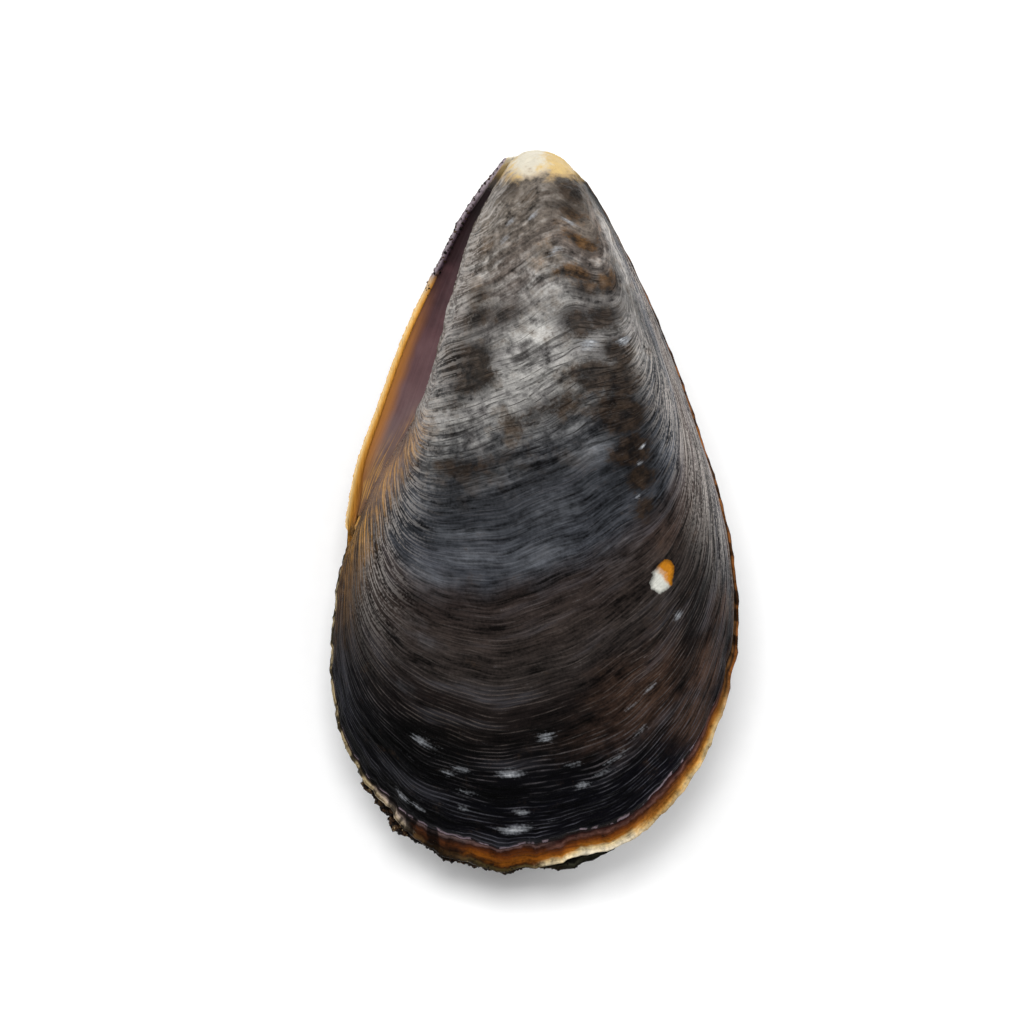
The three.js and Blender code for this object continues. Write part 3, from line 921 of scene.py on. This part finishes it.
# The pearly inside, and the rim of the lower valve beside the ligament, with painted shade in the slit near
# the umbo.
def addInside(colour, on, paint):
    pearl = mixTones(between(on.edgeDistance, 2, 6), paint["pearlEdge"], paint["pearl"])
    pearly = product(between(on.inside, 0.55, 0.95), between(on.edgeDistance, 1.2, 2.2))
    colour = mixTones(pearly, colour, pearl)
    if on.side > 0:
        return colour
    distance = stirred(on.edgeDistance, (on.middle, 0.1))
    # Near the umbo the rim is pale at its edge, then dark inwards: painted shade in the slit.
    top = scaled(toneRamp(distance, paint["hingeTopAndSlitShade"]), stirred(1, (on.grain, 2)))
    rim = mixTones(between(stirred(on.y, (on.patch, 3)), 22.5, 19), top,
                   toneRamp(distance, paint["hingeRim"]))
    share = product(greatest(on.onHinge, between(on.across, 0.05, 0.03)),
                    between(on.edgeDistance, 2.2, 1.6), between(on.inside, 0.1, 0.4))
    return mixTones(share, colour, rim)


# The lumps of the crust are dark, brown or pale.
def addLumps(colour, on, paint):
    pick = stirred(on.lump, (on.grain, 1.2), (on.patch, 0.6))
    lump = coated(mixTones(between(pick, 0.45, 0.9), paint["lumpDark"], paint["lumpBrown"]),
                  (between(pick, 1, 1.15), paint["lumpPale"]))
    return mixTones(between(on.lump, 0.02, 0.05), colour, lump)


def shellFinish(valve, paint):
    material, tree, shader = newFinish(valve["name"] + "_finish")
    on = finishValues(tree, valve, paint)
    colour = bandColour(on, paint)
    for addCoat in (addHazeAndSheen, addStains, addFlankLinesAndLight, addTanStreaks, addFlecks, addNewestGrowth,
                    addTip, addChip, addInside, addLumps):
        colour = addCoat(colour, on, paint)
    feed(shader.inputs["Base Color"], scaled(colour, paint["depth"]))
    rough = calculate("MULTIPLY_ADD", on.hazeShare, 0.25, 0.32)
    feed(shader.inputs["Roughness"], stirred(rough, (on.patch, 0.2), (on.fine, 0.1)))
    shader.inputs["Specular IOR Level"].default_value = paint["shine"]
    height = calculate("MULTIPLY_ADD", on.wrinkle, -0.05, product(on.thread, 0.03))
    for noise, amount in ((on.fine, 0.05), (on.middle, 0.1), (on.grain, 0.03), (on.scratches, 0.01),
                          (on.patch, product(on.blotches, 0.1))):
        height = calculate("MULTIPLY_ADD", noise, amount, height)
    addBump(shader, height)
    return material


def startTree(name, **kinds):
    tree = bpy.data.node_groups.new(name, "GeometryNodeTree")
    tree.interface.new_socket("Geometry", in_out="INPUT", socket_type="NodeSocketGeometry")
    for kind, sockets in kinds.items():
        for socket in sockets:
            tree.interface.new_socket(socket, in_out="INPUT", socket_type="NodeSocket" + kind)
    tree.interface.new_socket("Finish", in_out="INPUT", socket_type="NodeSocketMaterial")
    tree.interface.new_socket("Geometry", in_out="OUTPUT", socket_type="NodeSocketGeometry")
    return tree, addNode(tree, "NodeGroupInput").outputs


def keptValue(tree, name):
    inputs = {"Name": name}
    return addNode(tree, "GeometryNodeInputNamedAttribute", inputs, data_type="FLOAT").outputs["Attribute"]


def addGeometry(kind, geometry, inputs=(), **settings):
    node = addNode(geometry.id_data, kind, {"Geometry": geometry, **dict(inputs)}, **settings)
    return node.outputs["Geometry"]


def endTree(geometry, given):
    geometry = addGeometry("GeometryNodeRealizeInstances", geometry)
    geometry = addGeometry("GeometryNodeSetMaterial", geometry, {"Material": given["Finish"]})
    addNode(geometry.id_data, "NodeGroupOutput", {"Geometry": geometry})
    return geometry.id_data


# Growth relief: ridges and finer lines that follow the growth, and a worn, lumpy umbo half.
def growthReliefTree():
    tree, given = startTree("growthRelief", Float=(
        "Ridge Height", "Ridge Spacing", "Line Height", "Line Spacing", "Swell Height", "Swell Spacing",
        "Swell End", "Growth Length", "Seed"))
    ridgeStretch, lineStretch, swellFade = 5, 12, 0.15
    growth, across = keptValue(tree, "growth"), keptValue(tree, "across")
    length = product(growth, given["Growth Length"])
    ridges = lineNoise(length, across, given["Ridge Spacing"], ridgeStretch, given["Seed"])
    lines = lineNoise(length, across, given["Line Spacing"], lineStretch, calculate("ADD", given["Seed"], 7))
    place = addNode(tree, "GeometryNodeInputPosition").outputs[0]
    swell = noiseAt(place, calculate("DIVIDE", 1, given["Swell Spacing"]), 3)
    pastSwell = calculate("DIVIDE", calculate("SUBTRACT", growth, given["Swell End"]), swellFade)
    worn = calculate("SUBTRACT", 1, pastSwell, use_clamp=True)
    rise = stirred(0, (ridges, given["Ridge Height"]), (lines, given["Line Height"]),
                   (swell, product(given["Swell Height"], worn)))
    normal = addNode(tree, "GeometryNodeInputNormal").outputs[0]
    moved = combine("ADD", place, scaled(normal, product(rise, keptValue(tree, "relief"))))
    kept = combine("MAXIMUM", moved, (-1, -1, 0))     # nothing sinks into the table
    return endTree(addGeometry("GeometryNodeSetPosition", given["Geometry"], {"Position": kept}), given)


# A lump of the crust is a ball with its middle sunk into the edge, and bent out of round.
lumpForm = {
    "ball": {"Segments": 6, "Rings": 4, "Radius": mm},      # at size 1
    "sink": 0.75,               # in sizes
    "bend": 2.6,                # in sizes
    "bendScale": 3.2,           # per millimetre
    "leastSize": 0.02,          # where the edge says less, none grow
}


# Small lumps scattered over the rough parts of the edge, each as large as the edge there says.
def edgeCrustTree():
    tree, given = startTree("edgeCrust", Float=("Density", "Least Size", "Most Size"), Int=("Seed",))
    size = keptValue(tree, "crust")
    spread = addNode(tree, "GeometryNodeDistributePointsOnFaces", {
        "Mesh": given["Geometry"], "Selection": calculate("GREATER_THAN", size, lumpForm["leastSize"]),
        "Density": given["Density"], "Seed": given["Seed"]}, distribute_method="RANDOM").outputs
    chance = addNode(tree, "FunctionNodeRandomValue", {2: 0.1, 3: 1}, data_type="FLOAT").outputs[1]
    points = addGeometry("GeometryNodeStoreNamedAttribute", spread["Points"],
                         {"Name": "lump", "Value": chance}, data_type="FLOAT", domain="POINT")
    sink = scaled(spread["Normal"], product(size, -lumpForm["sink"] * mm))
    points = addGeometry("GeometryNodeSetPosition", points, {"Offset": sink})
    turn = addNode(tree, "FunctionNodeRandomValue", {1: (6.3, 6.3, 6.3)}, data_type="FLOAT_VECTOR")
    limits = {0: given["Least Size"], 1: given["Most Size"]}
    shape = addNode(tree, "FunctionNodeRandomValue", limits, data_type="FLOAT_VECTOR")
    ball = addNode(tree, "GeometryNodeMeshUVSphere", lumpForm["ball"]).outputs["Mesh"]
    lumps = addNode(tree, "GeometryNodeInstanceOnPoints", {
        "Points": points, "Instance": ball, "Rotation": turn.outputs[0],
        "Scale": scaled(shape.outputs[0], size)}).outputs["Instances"]
    bend = addNode(tree, "ShaderNodeTexNoise", {"Scale": lumpForm["bendScale"] / mm}, noise_dimensions="3D")
    bend = combine("SUBTRACT", bend.outputs["Color"], (0.5, 0.5, 0.5))
    bend = scaled(bend, product(size, lumpForm["bend"] * mm))
    lumps = addGeometry("GeometryNodeRealizeInstances", lumps)
    lumps = addGeometry("GeometryNodeSetPosition", lumps, {"Offset": bend})
    join = addNode(tree, "GeometryNodeJoinGeometry")
    for geometry in (lumps, given["Geometry"]):
        feed(join.inputs[0], geometry)
    return endTree(join.outputs[0], given)


def setInputs(modifier, values):
    items = modifier.node_group.interface.items_tree
    sockets = {item.name: item.identifier for item in items if item.in_out == "INPUT"}
    for name, value in values.items():
        modifier[sockets[name]] = value


# Turns an object with its node trees into a plain mesh object.
def applyTrees(thing, name):
    picture = bpy.context.evaluated_depsgraph_get()
    mesh = bpy.data.meshes.new_from_object(thing.evaluated_get(picture))
    bpy.data.objects.remove(thing)
    plain = bpy.data.objects.new(name, mesh)
    bpy.context.scene.collection.objects.link(plain)
    mesh.name = name
    return plain


shellTrees = {"relief": growthReliefTree(), "crust": edgeCrustTree()}
shellRelief = {
    "Ridge Height": 0.00024,
    "Ridge Spacing": 1.5,
    "Line Height": 0.00009,
    "Line Spacing": 0.5,
    "Swell Height": 0.001,
    "Swell Spacing": 0.0026,
    "Swell End": 0.33,
    "Growth Length": shellForm["growthLength"],
}
edgeCrust = {"Density": 9e6, "Least Size": 0.6, "Most Size": 1.5, "Seed": 4}


def makeValve(valve):
    raw = makeMeshObject("raw_" + valve["name"], *valveMeshData(valve))
    finish = shellFinish(valve, shellPaint)
    treeInputs = {"relief": {**shellRelief, "Seed": valve["seed"]}, "crust": edgeCrust}
    for name, values in treeInputs.items():
        modifier = raw.modifiers.new(name, "NODES")
        modifier.node_group = shellTrees[name]
        setInputs(modifier, {**values, "Finish": finish})
    handOver(applyTrees(raw, valve["name"]), valve["node"])


for valve in (upperValve, lowerValve):
    makeValve(valve)


# The ligament, a finer piece than the solid that it replaces.
ligamentShape = {
    "start": 0.1,
    "end": 0.96,
    "fromLowerHinge": (0.4, -0.12),
    "fromUpperHinge": (0.7, -0.2),
    "leftDepth": 0.2,           # under the plane where the valves meet
    "rightDepth": 0.36,
    "hollow": 0.3,
    "thickness": 0.9,
    "edge": 0.3,
    "slices": 170,
    "columns": 30,
    # From the umbo's end to the lower end.
    "tones": [
        (0, "1c0f11"), (0.25, "301b1f"), (0.42, "5e3e42"), (0.6, "6c5052"), (0.8, "786664"), (1, "7a6250"),
    ],
    "rimSide": "bc7a34",
    "streak": "c4924c",
    "underStreaks": "6a4c38",
    "shine": 0.3,
}


def ligamentMeshData(shape):
    slices, columns = shape["slices"], shape["columns"]
    s, p = np.meshgrid(np.linspace(0, 1, slices + 1), np.linspace(0, 1, columns + 1), indexing="ij")
    along = shape["start"] + (shape["end"] - shape["start"]) * s
    left = smoothPath(lowerValve["hinge"], along) + shape["fromLowerHinge"]
    right = smoothPath(upperValve["hinge"], along) + shape["fromUpperHinge"]
    plan = left * (1 - p)[..., None] + right * p[..., None]
    arch = 4 * p * (1 - p) * np.sin(math.pi * (s * 0.98 + 0.01)) ** 0.5
    edgeDepth = shape["leftDepth"] + (shape["rightDepth"] - shape["leftDepth"]) * p
    high = -edgeDepth - shape["hollow"] * arch + 0.01 * arch * unevenness(p * 40 + s * 3, 2.0)
    low = high - (shape["edge"] + (shape["thickness"] - shape["edge"]) * arch)
    base = shellDepth + meetingPlane(plan[..., 0], plan[..., 1])
    sheets = [np.concatenate([plan, (base + level)[..., None]], -1).reshape(-1, 3) for level in (high, low)]
    top = np.arange(s.size).reshape(s.shape)
    bottom = top + s.size
    faces = np.concatenate([sheetQuads(top), sheetQuads(bottom)[:, ::-1]]).tolist()
    edge = [(k, 0) for k in range(slices)] + [(slices, k) for k in range(columns)]
    edge += [(k, columns) for k in range(slices, 0, -1)] + [(0, k) for k in range(columns, 0, -1)]
    for here, there in zip(edge, edge[1:] + edge[:1]):
        faces.append([int(top[here]), int(bottom[here]), int(bottom[there]), int(top[there])])
    attributes = {"along": np.tile(s.ravel(), 2), "side": np.tile(p.ravel(), 2)}
    return np.concatenate(sheets) * mm, faces, attributes


def ligamentFinish(shape):
    material, tree, shader = newFinish("ligament_finish")
    along, side = attributeOf(tree, "along"), attributeOf(tree, "side")
    threads = lineNoise(along, side, 1 / 5, 16, 0, 3)
    finer = lineNoise(along, side, 1 / 7, 34, 0, 3)
    cloud = noiseAt(placeInMillimetres(tree), 0.5, 4)
    fromRim = product(side, between(along, 0.5, 0.95, 1, 0.5))      # its lower end is narrow
    rimSide = product(between(stirred(fromRim, (cloud, 0.15)), 0.32, 0.02), between(along, 0.3, 0.55), 0.95)
    lowerEnd = between(calculate("MULTIPLY_ADD", side, 0.3, along), 0.8, 1.02)
    streaks = product(between(stirred(finer, (cloud, 0.4)), 0.46, 0.62), lowerEnd, 0.9)
    colour = coated(toneRamp(stirred(along, (cloud, 0.25)), shape["tones"]), (rimSide, shape["rimSide"]),
                    (product(lowerEnd, 0.6), shape["underStreaks"]), (streaks, shape["streak"]))
    colour = scaled(colour, stirred(0.8, (threads, 0.4), (cloud, 0.32)))
    feed(shader.inputs["Base Color"], colour)
    feed(shader.inputs["Roughness"], between(threads, 0.3, 0.7, 0.42, 0.55))
    shader.inputs["Specular IOR Level"].default_value = shape["shine"]
    addBump(shader, product(threads, 0.02))
    return material


def makeLigament(shape):
    thing = makeMeshObject("hinge_ligament", *ligamentMeshData(shape))
    thing.data.materials.append(ligamentFinish(shape))
    handOver(thing, "ligament")


makeLigament(ligamentShape)


# The table, the soft lights and the camera over the shell. A light is (place, size, power).
studio = {
    "floorSize": 3.0,
    "floorTones": ("fafafa", "f6f6f6"),
    "floorRoughness": 0.7,
    "sky": 0.43,
    "lights": [
        ((-0.02, 0.25, 0.62), 0.26, 2.6),
        ((-0.38, 0.3, 0.46), 0.35, 1.6),
        ((0.44, 0.24, 0.42), 0.35, 1.8),
    ],
    "lens": 200.0,
    "cameraPlace": (-1.95, 0.27, 527.0),
}


def makeFloor():
    size = studio["floorSize"]
    mesh = bpy.data.meshes.new("floor")
    corners = [(-size, -size, 0), (size, -size, 0), (size, size, 0), (-size, size, 0)]
    mesh.from_pydata(corners, [], [(0, 1, 2, 3)])
    floor = bpy.data.objects.new("floor", mesh)
    material, tree, shader = newFinish("floor_finish")
    speckle = noiseAt(placeInMillimetres(tree), 0.5, 2)
    feed(shader.inputs["Base Color"], mixTones(speckle, *studio["floorTones"]))
    shader.inputs["Roughness"].default_value = studio["floorRoughness"]
    floor.data.materials.append(material)
    bpy.context.scene.collection.objects.link(floor)


def makeLights():
    world = bpy.data.worlds.new("studio")
    world.use_nodes = True
    sky = world.node_tree.nodes["Background"]
    sky.inputs["Color"].default_value = (1, 1, 1, 1)
    sky.inputs["Strength"].default_value = studio["sky"]
    bpy.context.scene.world = world
    for number, (place, size, power) in enumerate(studio["lights"], 1):
        light = bpy.data.lights.new(f"softbox{number}", "AREA")
        light.energy = power
        light.size = size
        softbox = bpy.data.objects.new(light.name, light)
        softbox.location = place
        softbox.rotation_euler = (-softbox.location).to_track_quat("-Z", "Y").to_euler()
        bpy.context.scene.collection.objects.link(softbox)


def makeCamera():
    camera = bpy.data.objects.new("camera", bpy.data.cameras.new("camera"))
    camera.data.lens = studio["lens"]
    camera.location = [value * mm for value in studio["cameraPlace"]]
    bpy.context.scene.collection.objects.link(camera)
    bpy.context.scene.camera = camera
    bpy.context.scene.view_settings.view_transform = "Standard"


makeFloor()
makeLights()
makeCamera()
print("studio ready")
